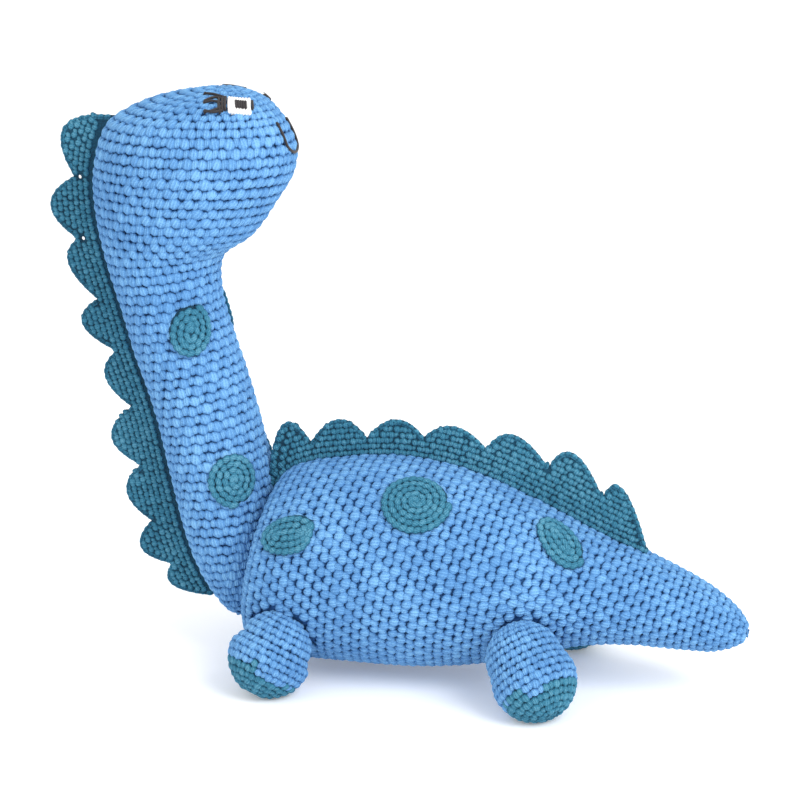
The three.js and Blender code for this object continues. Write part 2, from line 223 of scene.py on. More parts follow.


# Crocheted cotton, with painted shade at the edge of every loop. The map of each loop of yarn runs from 0 to
# 1 over its length and its width.
def cottonMaterial(name, shades, values):
    shader = Shader(name, values["roughness"], Sheen_Weight=values["sheen"],
                    Sheen_Roughness=values["sheenRoughness"], Specular_IOR_Level=values["specular"])
    shader.surface.inputs["Sheen Tint"].default_value = shades["fibre"]
    place = shader.node("ShaderNodeUVMap", {"uv_map": "stitchMap"})
    along = shader.node("ShaderNodeSeparateXYZ", {}, (place,))
    across = along.output(1)
    side = (along - 0.5) * 2
    wide = (across - 0.5) * 2
    edge = (side * side + wide * wide).clamp()
    tone = shader.node("ShaderNodeAttribute", {"attribute_name": "tone"}, (), "Fac")
    broad = shader.strands(values["patchScale"], values["detail"])
    fine = shader.strands(values["fibreScale"], values["detail"])
    slant = along * values["plySlant"][0] + across * values["plySlant"][1]
    plies = (slant * (values["plies"] * 2 * math.pi)).sine() * 0.5 + 0.5
    # painted shade: darker towards a loop's edge and lighter in its middle
    light = (1 - edge ** values["edgeShadePower"]) * values["middle"]
    light = light + plies * values["plyTone"] + (tone - 0.5) * values["toneSpread"]
    light = light + (fine - 0.5) * values["fibreTone"] + (broad - 0.5) * values["patchTone"]
    light = (light + values["bright"]).clamp()
    stops = [
        (0.0, shades["creviceShade"]), (values["lowAt"], shades["low"]),
        (values["highAt"], shades["high"]), (1.0, shades["fibre"]),
    ]
    shader.feed("Base Color", shader.node("ShaderNodeValToRGB", {"stops": stops}, (light,)))
    strands = shader.node("ShaderNodeBump", {}, {
        "Strength": values["plyBump"], "Distance": values["plyHeight"], "Height": plies,
    })
    fuzz = shader.node("ShaderNodeBump", {}, {
        "Strength": values["fibreBump"], "Distance": values["fibreHeight"], "Height": fine, "Normal": strands,
    })
    shader.feed("Normal", fuzz)
    return shader.material


blueCotton = cottonMaterial("blueCotton", cotton["blue"], cotton)
tealCotton = cottonMaterial("tealCotton", cotton["teal"], cotton)

floorPaint = Shader("floorPaint", 0.9, Specular_IOR_Level=0.1, Emission_Color=(1, 1, 1, 1),
                    Emission_Strength=studio["floorGlow"])
grain = floorPaint.node("ShaderNodeTexNoise", {}, {"Scale": 3.0, "Detail": 2.0})
paler = tuple(min(1.0, c * studio["floorPaler"]) for c in studio["floorColour"]) + (1.0,)
floorPaint.feed("Base Color", floorPaint.mix(grain, studio["floorColour"] + (1.0,), paler))
print("materials ready")


# meshes

def makePiece(name, bm, material, smooth=True):
    mesh = bpy.data.meshes.new(name)
    for face in bm.faces:
        face.smooth = smooth
    bm.to_mesh(mesh)
    bm.free()
    mesh.materials.append(material)
    piece = bpy.data.objects.new(name, mesh)
    scene.collection.objects.link(piece)
    return piece


floorMesh = bmesh.new()
bmesh.ops.create_grid(floorMesh, x_segments=1, y_segments=1, size=studio["floorSize"])
makePiece("floor", floorMesh, floorPaint.material)


# A smooth run through rows of numbers, at t from 0 to 1.
def alongRibs(ribs, t):
    last = len(ribs) - 1
    place = min(max(t, 0.0), 1.0) * last
    i = min(int(place), last - 1)
    f = place - i
    b, c = ribs[i], ribs[i + 1]
    a = ribs[i - 1] if i > 0 else [2 * p - q for p, q in zip(b, c)]
    d = ribs[i + 2] if i + 2 <= last else [2 * q - p for p, q in zip(b, c)]
    return [
        0.5 * (2 * q + (r - p) * f + (2 * p - 5 * q + 4 * r - s) * f * f + (3 * q - p - 3 * r + s) * f ** 3)
        for p, q, r, s in zip(a, b, c, d)
    ]


probe = {"t": 0.002, "angle": 0.01, "columns": 40, "rows": 56}     # how finely a tube is measured


# A stuffed tube: a point at t along it and an angle around it, from the left side. Grain is 1 where
# the rounds were worked towards t = 1, and -1 where they were worked towards t = 0.
class Tube:
    def __init__(self, surface, grain):
        self.surface, self.grain = surface, grain
        self.tree = BVHTree.FromBMesh(self.mesh(0, probe["columns"], probe["rows"]))

    def frame(self, t, angle):
        step, turn = probe["t"], probe["angle"]
        point = self.surface(t, angle)
        ahead = self.surface(min(t + step, 1), angle) - self.surface(max(t - step, 0), angle)
        around = self.surface(t, angle + turn) - self.surface(t, angle - turn)
        normal = ahead.cross(around).normalized()
        centre = (point + self.surface(t, angle + math.pi)) / 2
        if normal.dot(point - centre) < 0:
            normal = -normal
        upward = (ahead - ahead.dot(normal) * normal).normalized() * self.grain
        return point, upward.cross(normal), upward, normal

    # A closed mesh of it, with the surface moved out by a distance.
    def mesh(self, outward, columns, rows):
        bm = bmesh.new()
        bmesh.ops.create_uvsphere(bm, u_segments=columns, v_segments=rows, radius=1)
        for vert in bm.verts:
            t = 0.5 + math.asin(min(max(vert.co.z, -1), 1)) / math.pi
            vert.co = self.surface(t, math.atan2(vert.co.y, vert.co.x))
        if bm.calc_volume(signed=True) < 0:
            bmesh.ops.reverse_faces(bm, faces=bm.faces)
        bm.normal_update()
        moved = [(vert, vert.co + outward * vert.normal) for vert in bm.verts]
        for vert, place in moved:
            vert.co = place
        return bm

    def depth(self, point):      # above 0 inside the tube
        place, normal, face, distance = self.tree.find_nearest(point)
        return distance if (point - place).dot(normal) < 0 else -distance


fullRib = 25     # mm: shorter ribs are thinned by less


def ribTube(ribs, grain, thinner=(0, 0)):      # thinner is taken off the two ends of every rib, in mm
    def surface(t, angle):
        x1, z1, x2, z2, half = alongRibs(ribs, t)
        length = max(fullRib, math.hypot(x2 - x1, z2 - z1))
        wide, tall = (x2 - x1) / length, (z2 - z1) / length
        x1, z1 = x1 + thinner[0] * wide, z1 + thinner[0] * tall
        x2, z2 = x2 - thinner[1] * wide, z2 - thinner[1] * tall
        s = math.sin(angle)
        x, z = (x1 + x2) / 2 + (x2 - x1) / 2 * s, (z1 + z2) / 2 + (z2 - z1) / 2 * s
        return Vector((x * mm + shiftX, -max(0, half) * math.cos(angle) * mm, z * mm))
    return Tube(surface, grain)


def legTube(hip, foot, hipRadius, footRadius):
    axis = (foot - hip).normalized()
    sideways = axis.orthogonal().normalized()
    other = axis.cross(sideways)
    length = (foot - hip).length
    hipEnd, footStart = 0.45, 0.55     # where along the leg its two round ends meet its straight part

    def surface(t, angle):
        if t < hipEnd:
            turn = t / hipEnd * math.pi / 2
            radius, along = hipRadius * math.sin(turn), -hipRadius * math.cos(turn)
        elif t < footStart:
            share = (t - hipEnd) / (footStart - hipEnd)
            radius, along = hipRadius + (footRadius - hipRadius) * share, length * share
        else:
            turn = (t - footStart) / (1 - footStart) * math.pi / 2
            radius, along = footRadius * math.cos(turn), length + footRadius * math.sin(turn)
        out = math.cos(angle) * sideways + math.sin(angle) * other
        return hip + along * axis + radius * out
    return Tube(surface, -1)


# stitches

stitch = {
    "segments": 8, "rings": 6, "droop": 0.38, "full": 0.5, "fullWidth": 5 * mm,     # narrower ones are lower
    "turnVaries": 15, "sizeVaries": (0.88, 1.1), "placeVaries": 0.03, "liftVaries": 0.08 * mm,
    "big": {"across": -0.17, "up": 0.0, "size": (0.425, 0.585), "turn": -42, "high": 1.25},
    "small": {"across": 0.31, "up": 0.07, "size": (0.27, 0.53), "turn": -28, "high": 1.1},
}


# One loop of yarn: a puffed strand whose two ends dive into the fabric.
def yarnLoop(values):
    bm = bmesh.new()
    bmesh.ops.create_uvsphere(bm, u_segments=values["segments"], v_segments=values["rings"], radius=1)
    bmesh.ops.rotate(bm, verts=bm.verts, matrix=Matrix.Rotation(math.pi / 2, 3, "Y"))
    layer = bm.loops.layers.uv.new("stitchMap")
    for face in bm.faces:
        for loop in face.loops:
            loop[layer].uv = (loop.vert.co.x / 2 + 0.5, loop.vert.co.y / 2 + 0.5)
    for vert in bm.verts:      # fuller than an egg, with both ends going down
        reach = max(abs(vert.co.x), abs(vert.co.y))
        fuller = 1 + values["full"] * (1 - abs(vert.co.z)) * (1 - reach)
        vert.co.x, vert.co.y = vert.co.x * fuller, vert.co.y * fuller
        vert.co.z -= values["droop"] * vert.co.x ** 2
    return makePiece("yarnLoop", bm, blueCotton)


loopShape = yarnLoop(stitch)


# Copies the yarn loop to every stitch and joins it with the fabric under them. The fabric has no stitch map,
# so it takes the painted shade colour where it shows between the loops.
def stitchGroup(under):
    group = bpy.data.node_groups.new("stitches", "GeometryNodeTree")
    group.interface.new_socket("Geometry", in_out="INPUT", socket_type="NodeSocketGeometry")
    group.interface.new_socket("Geometry", in_out="OUTPUT", socket_type="NodeSocketGeometry")
    add, link = group.nodes.new, group.links.new
    start, end = add("NodeGroupInput"), add("NodeGroupOutput")
    copies, whole = add("GeometryNodeInstanceOnPoints"), add("GeometryNodeRealizeInstances")
    shape, fabric = add("GeometryNodeObjectInfo"), add("GeometryNodeObjectInfo")
    joined = add("GeometryNodeJoinGeometry")
    shape.inputs["Object"].default_value = loopShape
    fabric.inputs["Object"].default_value = under
    for name, socket in (("turn", "Rotation"), ("size", "Scale")):
        read = add("GeometryNodeInputNamedAttribute")
        read.data_type = "FLOAT_VECTOR"
        read.inputs["Name"].default_value = name
        link(read.outputs["Attribute"], copies.inputs[socket])
    link(start.outputs[0], copies.inputs["Points"])
    link(shape.outputs["Geometry"], copies.inputs["Instance"])
    link(copies.outputs[0], whole.inputs[0])
    link(whole.outputs[0], joined.inputs[0])
    link(fabric.outputs["Geometry"], joined.inputs[0])
    link(joined.outputs[0], end.inputs[0])
    return group


# A stitch is (place, along, up, out, size) with the size as (half length, half width, half height).
def sew(name, under, loops, material, floorHeight=None):
    bm = bmesh.new()
    turn = bm.verts.layers.float_vector.new("turn")
    size = bm.verts.layers.float_vector.new("size")
    tone = bm.verts.layers.float.new("tone")
    for place, along, up, out, halves in loops:
        vert = bm.verts.new(place)
        vert[turn] = Matrix((along, up, out)).transposed().to_euler()
        vert[size] = halves
        vert[tone] = random.random()
    points = makePiece(name + "Points", bm, material)
    grow = points.modifiers.new("stitches", "NODES")
    grow.node_group = stitchGroup(under)
    bpy.context.view_layer.update()
    ready = points.evaluated_get(bpy.context.evaluated_depsgraph_get())
    mesh = bpy.data.meshes.new_from_object(ready)
    mesh.name = name
    for extra in ("turn", "size"):
        if extra in mesh.attributes:
            mesh.attributes.remove(mesh.attributes[extra])
    mesh.materials.clear()
    mesh.materials.append(material)
    for polygon in mesh.polygons:
        polygon.material_index = 0
    if floorHeight is not None:
        for vert in mesh.vertices:
            vert.co.z = max(vert.co.z, floorHeight)
    piece = bpy.data.objects.new(name, mesh)
    scene.collection.objects.link(piece)
    for spare in (points, under):
        bpy.data.objects.remove(spare)
    print(name, len(loops), "loops of yarn,", len(mesh.polygons), "faces")
    return piece


# The two visible loops of one single crochet, in the frame of its place on the surface.
def crochet(point, along, up, out, width, pitch, lift):
    made = []
    placeVaries, liftVaries = stitch["placeVaries"], stitch["liftVaries"]
    for part in (stitch["big"], stitch["small"]):
        angle = math.radians(part["turn"] + random.uniform(-stitch["turnVaries"], stitch["turnVaries"]))
        spread = random.uniform(*stitch["sizeVaries"])
        across = along * math.cos(angle) + up * math.sin(angle)
        upward = out.cross(across)
        place = point + along * (part["across"] + random.uniform(-placeVaries, placeVaries)) * width
        place = place + up * (part["up"] + random.uniform(-placeVaries, placeVaries)) * pitch
        place = place + out * (lift + random.uniform(-liftVaries, liftVaries))
        halves = (
            part["size"][0] * width * spread, part["size"][1] * pitch * spread,
            part["high"] * mm * min(1, width / stitch["fullWidth"]),
        )
        made.append((place, across, upward, out, halves))
    return made


laying = {
    "steps": 400, "samples": 72, "spokes": 8,     # for measuring a tube along its length and around it
    "fewest": 5, "change": 0.8,     # stitches in a round, and how far that may be off before it changes
    "near": 0.004, "squeeze": (0.7, 1.5),     # how the height of a stitch follows the bend of the tube
}


def spokes(tube, t):     # a few points around a tube
    return [tube.surface(t, 2 * math.pi * k / laying["spokes"]) for k in range(laying["spokes"])]


def meanStep(first, second):     # how far apart two rings of points are
    return sum((a - b).length for a, b in zip(first, second)) / len(first)


# The places along a tube of its rounds of stitches, and the mean height of a round in pitches.
def roundPlaces(tube, pitch):
    reached, marks = 0.0, [(0.0, 0.0)]
    before = None
    for i in range(laying["steps"] + 1):
        t = i / laying["steps"]
        ring = spokes(tube, t)
        if before:
            reached += meanStep(ring, before) / pitch(t)
            marks.append((reached, t))
        before = ring
    count = round(reached)
    places, j = [], 0
    for r in range(count):
        wanted = (r + 0.5) * reached / count
        while marks[j + 1][0] < wanted:
            j += 1
        (r0, t0), (r1, t1) = marks[j], marks[j + 1]
        places.append(t0 + (t1 - t0) * (wanted - r0) / (r1 - r0))
    return (places if tube.grain > 0 else places[::-1]), reached / count


# Rounds of stitches along a tube. Width and pitch are functions of t, in metres.
def layRounds(tube, width, pitch, lean, lift, keep):
    loops, stitches, phase = [], 0, 0.0
    samples, near = laying["samples"], laying["near"]
    least, most = laying["squeeze"]
    places, mean = roundPlaces(tube, pitch)
    for t in places:
        ring = [tube.surface(t, 2 * math.pi * k / samples) for k in range(samples + 1)]
        lengths = [0.0]
        for a, b in zip(ring, ring[1:]):
            lengths.append(lengths[-1] + (b - a).length)
        whole = lengths[-1]
        wanted = whole / width(t)
        if abs(wanted - stitches) > laying["change"]:
            stitches = max(laying["fewest"], round(wanted))
        phase = (phase + lean) % 1
        wide = whole / stitches
        spread = meanStep(spokes(tube, t + near), spokes(tube, t - near))
        k = 0
        for s in range(stitches):
            target = (s + phase) * wide
            while lengths[k + 1] < target:
                k += 1
            share = (target - lengths[k]) / (lengths[k + 1] - lengths[k])
            angle = 2 * math.pi * (k + share) / samples
            point, along, up, out = tube.frame(t, angle)
            if not keep(point):
                continue
            tall = (tube.surface(t + near, angle) - tube.surface(t - near, angle)).length
            local = mean * pitch(t) * min(most, max(least, tall / max(spread, 1e-6)))
            loops += crochet(point, along, up, out, wide, local, lift)
    return loops


# A piece with another one's shape taken out of it.
def cutAway(piece, cutter):
    cut = piece.modifiers.new("cut", "BOOLEAN")
    cut.operation = "DIFFERENCE"
    cut.object = cutter
    mesh = bpy.data.meshes.new_from_object(piece.evaluated_get(bpy.context.evaluated_depsgraph_get()))
    piece.modifiers.clear()
    piece.data = mesh
    bpy.data.objects.remove(cutter)
    return piece


def ramp(start, end, low, high):     # goes from low to high as t goes from start to end
    return lambda t: low + (high - low) * min(1, max(0, (t - start) / (end - start)))


record = frame["record"]
joints = {joint["name"]: Vector(joint["pos_m"]) for joint in record["behaviour"]["joints"]}
soles = {mount["name"]: Vector(mount["pos_m"]) for mount in record["mounts"]}

# neck and head, and body and tail

# every rib is its two ends in the middle plane, x z x z, and its half depth, in mm
neckRibs = [
    (-73, 18, -73, 18, 0), (-83, 25, -63, 27, 12), (-91.5, 37, -56, 43, 19.5), (-98.5, 54, -53.5, 60, 23),
    (-105, 80, -57.5, 87, 24), (-110.5, 105, -64, 113.5, 24), (-115.5, 122, -69, 131, 24),
    (-121, 138, -74.3, 146.5, 24.5), (-126.5, 157.5, -79.3, 164, 25), (-132, 176, -78.5, 180.5, 27),
    (-136, 193.5, -64.5, 191, 31), (-137.5, 208, -54.5, 204.5, 34), (-137, 219, -46.5, 217.5, 35.5),
    (-134.5, 230, -45, 228.5, 35.5), (-128.5, 240, -49, 238.5, 33.5), (-113.5, 248, -55, 246.5, 26),
    (-95, 252.7, -63, 251.5, 14), (-75, 254.5, -75, 254.5, 0),
]
bodyRibs = [
    (-61, 51, -61, 51, 0), (-65.5, 34, -57.5, 68, 18), (-67, 21.5, -54.5, 79.5, 28.5),
    (-66, 12.5, -51, 86.5, 36), (-58.5, 7, -43, 91, 41), (-46, 5, -29.5, 94.5, 44.5), (-20, 4.5, 0, 97.5, 46),
    (12, 5, 31, 93, 45), (45.5, 9.5, 61.5, 81.5, 37.5), (75, 18, 88, 69, 28.5), (99, 21.3, 109, 60.5, 22.5),
    (124.5, 20.8, 131, 50.5, 17), (138.5, 21, 143.5, 42.5, 12.5), (148, 24, 150.5, 35, 7),
    (153, 28.5, 153, 28.5, 0),
]
neckTube = ribTube(neckRibs, 1, (2.6, 1.6))
bodyTube = ribTube(bodyRibs, -1)

skin = {
    "under": -1.3 * mm, "lift": -0.55 * mm, "cutGap": 0.3 * mm, "fill": 0.8,
    "neckWidth": ramp(0.55, 0.68, 6.8 * mm, 6.1 * mm), "neckPitch": ramp(0.5, 0.65, 4.25 * mm, 4.5 * mm),
    "neckLean": 0.33, "neckMesh": (48, 72), "neckDips": 1.6 * mm,
    "bodyWidth": ramp(0.62, 0.95, 6.5 * mm, 5.6 * mm), "bodyPitch": ramp(0.55, 0.85, 4.0 * mm, 3.2 * mm),
    "bodyLean": 0.56, "bodyMesh": (48, 64), "bodyDips": 1.0 * mm,     # how deep stitches may sink
    # the bends are spread along these lines
    "neckLine": (-0.24, 0, 0.97), "neckBlend": (-14 * mm, 30 * mm),
    "tailLine": (0.97, 0, -0.24), "tailBlend": (-10 * mm, 24 * mm),
}

leg = {
    "width": 4.9 * mm, "pitch": 3.3 * mm, "lean": 0.35, "footRadius": 17.6 * mm, "footHeight": 17.1 * mm,
    "hipRadius": {"front": 15.2 * mm, "rear": 15.7 * mm}, "mesh": (28, 36), "dips": 0.8 * mm,
    "capStart": 7.3 * mm, "floor": 0.1 * mm, "underFloor": 0.5 * mm, "seam": 0.9 * mm,
    "blend": (-15 * mm, 4 * mm),
}


def footPlace(name):     # the middle of a foot's round end
    return soles[name + "_sole"] + Vector((0, 0, leg["footHeight"]))


legTubes = {}
for end in ("front", "rear"):
    for side in ("left", "right"):
        name = end + "_" + side
        hip = joints[name + "_leg_swing"]
        legTubes[name] = legTube(hip, footPlace(name), leg["hipRadius"][end], leg["footRadius"])


def standFor(piece, slot, fill, *nodes):     # hides the nodes it replaces; the other values are its material's slot and how full it is
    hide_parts(*nodes)


def makeNeckHead():
    under = makePiece("neckUnder", neckTube.mesh(skin["under"], *skin["neckMesh"]), blueCotton)
    loops = layRounds(neckTube, skin["neckWidth"], skin["neckPitch"], skin["neckLean"], skin["lift"],
                      lambda point: bodyTube.depth(point) < skin["neckDips"])
    piece = sew("neckHeadSkin", under, loops, blueCotton)
    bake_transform(piece)
    standFor(piece, "blue_cotton", skin["fill"],
             "chest_cover", "chest_stuffing", "neck_head_cover", "neck_head_stuffing")


def clearOfLegs(point):
    return all(tube.depth(point) < -leg["seam"] for tube in legTubes.values())


def makeBody():
    under = makePiece("bodyUnder", bodyTube.mesh(skin["under"], *skin["bodyMesh"]), blueCotton)
    neckMesh = neckTube.mesh(skin["under"] + skin["cutGap"], *skin["neckMesh"])
    cutAway(under, makePiece("neckCutter", neckMesh, blueCotton))
    loops = layRounds(bodyTube, skin["bodyWidth"], skin["bodyPitch"], skin["bodyLean"], skin["lift"],
                      lambda point: neckTube.depth(point) < skin["bodyDips"] and clearOfLegs(point))
    piece = sew("bodySkin", under, loops, blueCotton)
    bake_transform(piece)
    standFor(piece, "blue_cotton", skin["fill"],
             "body_cover", "body_stuffing", "tail_cover", "tail_stuffing")


makeNeckHead()
makeBody()


# legs and feet

def halfMesh(tube, outward, place, normal):     # the part of a tube behind a plane
    bm = tube.mesh(outward, *leg["mesh"])
    everything = bm.verts[:] + bm.edges[:] + bm.faces[:]
    bmesh.ops.bisect_plane(bm, geom=everything, plane_co=place, plane_no=normal, clear_outer=True)
    bmesh.ops.holes_fill(bm, edges=[edge for edge in bm.edges if edge.is_boundary])
    bmesh.ops.recalc_face_normals(bm, faces=bm.faces)
    for vert in bm.verts:
        vert.co.z = max(vert.co.z, leg["underFloor"])
    return bm


def makeLeg(name, tube):
    foot = footPlace(name)
    axis = (foot - joints[name + "_leg_swing"]).normalized()
    border = foot + axis * leg["capStart"]
    loops = layRounds(tube, lambda t: leg["width"], lambda t: leg["pitch"], leg["lean"], skin["lift"],
                      lambda point: bodyTube.depth(point) < leg["dips"])

    def teal(loop):     # the colour changes at one stitch of a spiral, so the border steps by one round
        out = loop[0] - foot
        around = math.atan2(out.dot(axis.cross(Vector((0, 1, 0)))), out.y) / (2 * math.pi)
        return (loop[0] - border).dot(axis) > around * leg["pitch"]

    legUnder = makePiece(name + "LegUnder", halfMesh(tube, skin["under"], border, axis), blueCotton)
    bodyMesh = bodyTube.mesh(skin["under"] + skin["cutGap"], *skin["bodyMesh"])
    cutAway(legUnder, makePiece("bodyCutter", bodyMesh, blueCotton))
    capUnder = makePiece(name + "CapUnder", halfMesh(tube, skin["under"], border, -axis), tealCotton)
    cover = sew(name + "Leg", legUnder, [loop for loop in loops if not teal(loop)], blueCotton, leg["floor"])
    cap = sew(name + "Foot", capUnder, [loop for loop in loops if teal(loop)], tealCotton, leg["floor"])
    name + "_leg"
    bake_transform(cover)
    standFor(cover, "blue_cotton", skin["fill"], name + "_leg_cover", name + "_leg_stuffing")
    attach(cap, name + "_leg")
    standFor(cap, "teal_cotton", skin["fill"], name + "_foot_cap")


for name, tube in legTubes.items():
    makeLeg(name, tube)
print("neck, body and legs ready")


# scalloped plates along the neck and the back

plates = {
    "row": 2.55 * mm, "stitch": 3.8 * mm, "rows": 11, "halfThick": 0.7 * mm, "lift": 0.1 * mm, "fill": 0.3,
    "archPoints": 8, "linePoints": 400, "lineStep": 10, "fromEdge": 1.3 * mm, "fromHole": 2.0 * mm,
    "edgeStep": 3.1 * mm, "edgeLoop": (2.1 * mm, 1.55 * mm, 1.3 * mm), "edgeSlant": 14, "edgeInset": 0.9 * mm,
    "holeRadius": 0.9 * mm, "holeLength": 6 * mm,
}
# each strip's first row and how far above that row's line its stitches lie, in rows, and its outline in mm
neckStrip = {
    # the first two rows are left out, so the strip's painted-shade fabric shows along the neck as a dark
    # groove
    "tube": neckTube, "angle": -math.pi / 2, "firstRow": 2, "above": 0.1,
    "tips": [
        (-150, 235), (-157.5, 200.5), (-150, 174.5), (-144.5, 148), (-134.5, 124.5),
        (-132.5, 97), (-126, 72), (-120, 46.5), (-105.5, 30),
    ],
    "valleys": [
        (-146, 213.5), (-145.5, 186), (-137, 159.5), (-129, 136.5), (-122.5, 111.5),
        (-119, 85), (-114.5, 59.5), (-105.5, 40),
    ],
    "ends": [(-126.5, 240.5), (-87, 26.5)], "holes": [(-143.4, 213.3), (-142.8, 186.2)],
}
backStrip = {
    "tube": bodyTube, "angle": math.pi / 2, "firstRow": 0, "above": 0.45,
    "tips": [(-53, 107.5), (-27.5, 111.5), (-2, 113), (24, 111.5), (50, 109.5), (76, 103), (97.5, 88.5)],
    "valleys": [(-40, 100.5), (-15, 104), (10.5, 106), (38, 102.5), (65, 96), (88.5, 84.5)],
    "ends": [(-59.5, 80), (108, 63.5)], "holes": [],
}


# The outer edge of a row of plates: one arch through every tip, pinched at the valleys.
def scallops(values):
    first, last = values["ends"]
    corners = [Vector(corner) for corner in [first] + values["valleys"] + [last]]
    edge = []
    for tip, a, b in zip(values["tips"], corners, corners[1:]):
        pull = 2 * Vector(tip) - (a + b) / 2
        for k in range(plates["archPoints"]):
            f = k / plates["archPoints"]
            edge.append((1 - f) ** 2 * a + 2 * f * (1 - f) * pull + f * f * b)
    edge.append(corners[-1])
    return [Vector((p.x * mm + shiftX, p.y * mm)) for p in edge]


def insideOf(outline, point):     # counts the sides to the right of the point
    inside = False
    for a, b in zip(outline, outline[1:] + outline[:1]):
        if (a.y > point.y) != (b.y > point.y) and point.x < (b.x - a.x) * (point.y - a.y) / (b.y - a.y) + a.x:
            inside = not inside
    return inside


def fromEdge(outline, point):
    nearest = 1.0
    for a, b in zip(outline, outline[1:]):
        along = b - a
        share = min(1, max(0, (point - a).dot(along) / max(along.length_squared, 1e-12)))
        nearest = min(nearest, (point - a - share * along).length)
    return nearest


def upright(point, depth=0.0):     # a place or direction in the middle plane, as one in space
    return Vector((point.x, depth, point.y))


# The flat fabric of a strip, with its holes, in the painted shade colour where it shows between the loops.
def stripUnder(name, outline, gaps):
    bm = bmesh.new()
    corners = [bm.verts.new(upright(point, -plates["halfThick"])) for point in outline]
    for a, b in zip(corners, corners[1:] + corners[:1]):
        bm.edges.new((a, b))
    flat = bmesh.ops.edgeloop_fill(bm, edges=bm.edges[:])["faces"]
    thick = bmesh.ops.extrude_face_region(bm, geom=flat)["geom"]
    moved = [part for part in thick if isinstance(part, bmesh.types.BMVert)]
    bmesh.ops.translate(bm, verts=moved, vec=(0, 2 * plates["halfThick"], 0))
    bmesh.ops.recalc_face_normals(bm, faces=bm.faces)
    bmesh.ops.triangulate(bm, faces=bm.faces)
    under = makePiece(name + "Under", bm, tealCotton, smooth=False)
    radius = plates["holeRadius"]
    for gap in gaps:
        bm = bmesh.new()
        bmesh.ops.create_cone(bm, cap_ends=True, segments=12, radius1=radius, radius2=radius,
                              depth=plates["holeLength"], matrix=Matrix.Rotation(math.pi / 2, 4, "X"))
        bmesh.ops.translate(bm, verts=bm.verts, vec=upright(gap))
        cutAway(under, makePiece("gapCutter", bm, tealCotton))
    return under


# Rows of small stitches on both faces of a strip. They follow the middle line of the tube under it.
def stripRows(line, first, last, away, outline, edge, gaps, values):
    loops = []
    size = plates["stitch"]
    for row in range(values["firstRow"], plates["rows"]):
        height = (row + values["above"]) * plates["row"]
        travelled = (row % 2) * size / 2
        for i in range(first + 1, last):
            along = line[i + 1] - line[i - 1]
            out = Vector((-along.y, along.x)).normalized()
            if out.dot(away) < 0:
                out = -out
            point = line[i] + height * out
            before = line[i - 1] + height * out
            travelled += (point - before).length
            if travelled < size:
                continue
            travelled -= size
            if row and (not insideOf(outline, point) or fromEdge(edge, point) < plates["fromEdge"]):
                continue
            if any((point - gap).length < plates["fromHole"] for gap in gaps):
                continue
            up = upright(out)
            for side in (-1, 1):
                facing = Vector((0, side, 0))
                place = upright(point, side * plates["halfThick"])
                loops += crochet(place, up.cross(facing), up, facing, size, plates["row"], plates["lift"])
    return loops


def stripEdge(outline, edge):     # slanted loops over the outer edge
    loops = []
    reach, travelled = 0.0, 0.0
    for a, b in zip(edge, edge[1:]):
        step = (b - a).length
        while travelled + step - reach >= plates["edgeStep"]:
            reach += plates["edgeStep"]
            place = a + (b - a) * ((reach - travelled) / step)
            along = upright(b - a).normalized()
            out = along.cross(Vector((0, 1, 0)))
            if insideOf(outline, place + Vector((out.x, out.z)) * mm):
                out = -out
            turned = Matrix.Rotation(math.radians(plates["edgeSlant"]), 3, out) @ along
            middle = upright(place) - plates["edgeInset"] * out
            loops.append((middle, turned, out.cross(turned), out, plates["edgeLoop"]))
        travelled += step
    return loops


def makePlates(name, values):
    edge = scallops(values)
    count = plates["linePoints"]
    points = [values["tube"].surface(i / count, values["angle"]) for i in range(count + 1)]
    line = [Vector((point.x, point.z)) for point in points]
    near = [min(range(count + 1), key=lambda i: (line[i] - end).length) for end in (edge[0], edge[-1])]
    first, last = min(near), max(near)
    inner = line[first:last + 1:plates["lineStep"]]
    if near[0] < near[1]:
        inner = inner[::-1]
    outline = edge + inner
    gaps = [Vector((x * mm + shiftX, z * mm)) for x, z in values["holes"]]
    away = Vector((0, 1)) if values["tube"] is bodyTube else Vector((-1, 0))
    under = stripUnder(name, outline, gaps)
    loops = stripRows(line, first, last, away, outline, edge, gaps, values)
    piece = sew(name, under, loops + stripEdge(outline, edge), tealCotton)
    return piece


neckPlates = makePlates("neckPlates", neckStrip)
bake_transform(neckPlates)
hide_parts("neck_plates", "chest_plates")
backPlates = makePlates("backPlates", backStrip)
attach(backPlates, "torso")
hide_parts("back_plates")
print("plates ready")


# sewn-on spots: flat spirals, with their half sizes lengthways and upwards in mm, and angles in degrees

spots = {
    "neck_spot": {
        "tube": neckTube, "height": 152, "angle": 34, "size": (9.6, 11.8), "tilt": 0, "body": "head_neck",
    },
    "chest_spot": {
        "tube": neckTube, "height": 87, "angle": 34, "size": (11, 12), "tilt": 10, "body": "torso",
    },
    "shoulder_spot": {
        "tube": bodyTube, "length": -38.8, "angle": 28, "size": (14.6, 9.2), "tilt": 12, "body": "torso",
    },
    "flank_spot": {
        "tube": bodyTube, "length": 14, "angle": 50, "size": (15, 14.4), "tilt": 0, "body": "torso",
    },
    "rump_spot": {
        "tube": bodyTube, "length": 74, "angle": 55, "size": (13.5, 9.2), "tilt": -40, "body": "torso",
    },
}
spiral = {
    "ring": 2.7 * mm, "step": 3.0 * mm, "loop": (2.3, 1.5, 1.05), "slant": 17, "lift": 1.3 * mm,
    "start": 0.4, "look": 0.05, "mostTurn": 0.85, "margin": 0.9 * mm, "varies": (0.93, 1.07),
    "under": 0.45 * mm, "underHalf": 0.8 * mm, "underInset": 1 * mm, "fill": 0.3,
}
search = {"low": 0.12, "high": 0.97, "halvings": 40}     # the stretch of a tube that is searched


def findAlong(tube, angle, axis, value):
    low, high = search["low"], search["high"]
    for halving in range(search["halvings"]):
        middle = (low + high) / 2
        if tube.surface(middle, angle)[axis] < value:
            low = middle
        else:
            high = middle
    return (low + high) / 2


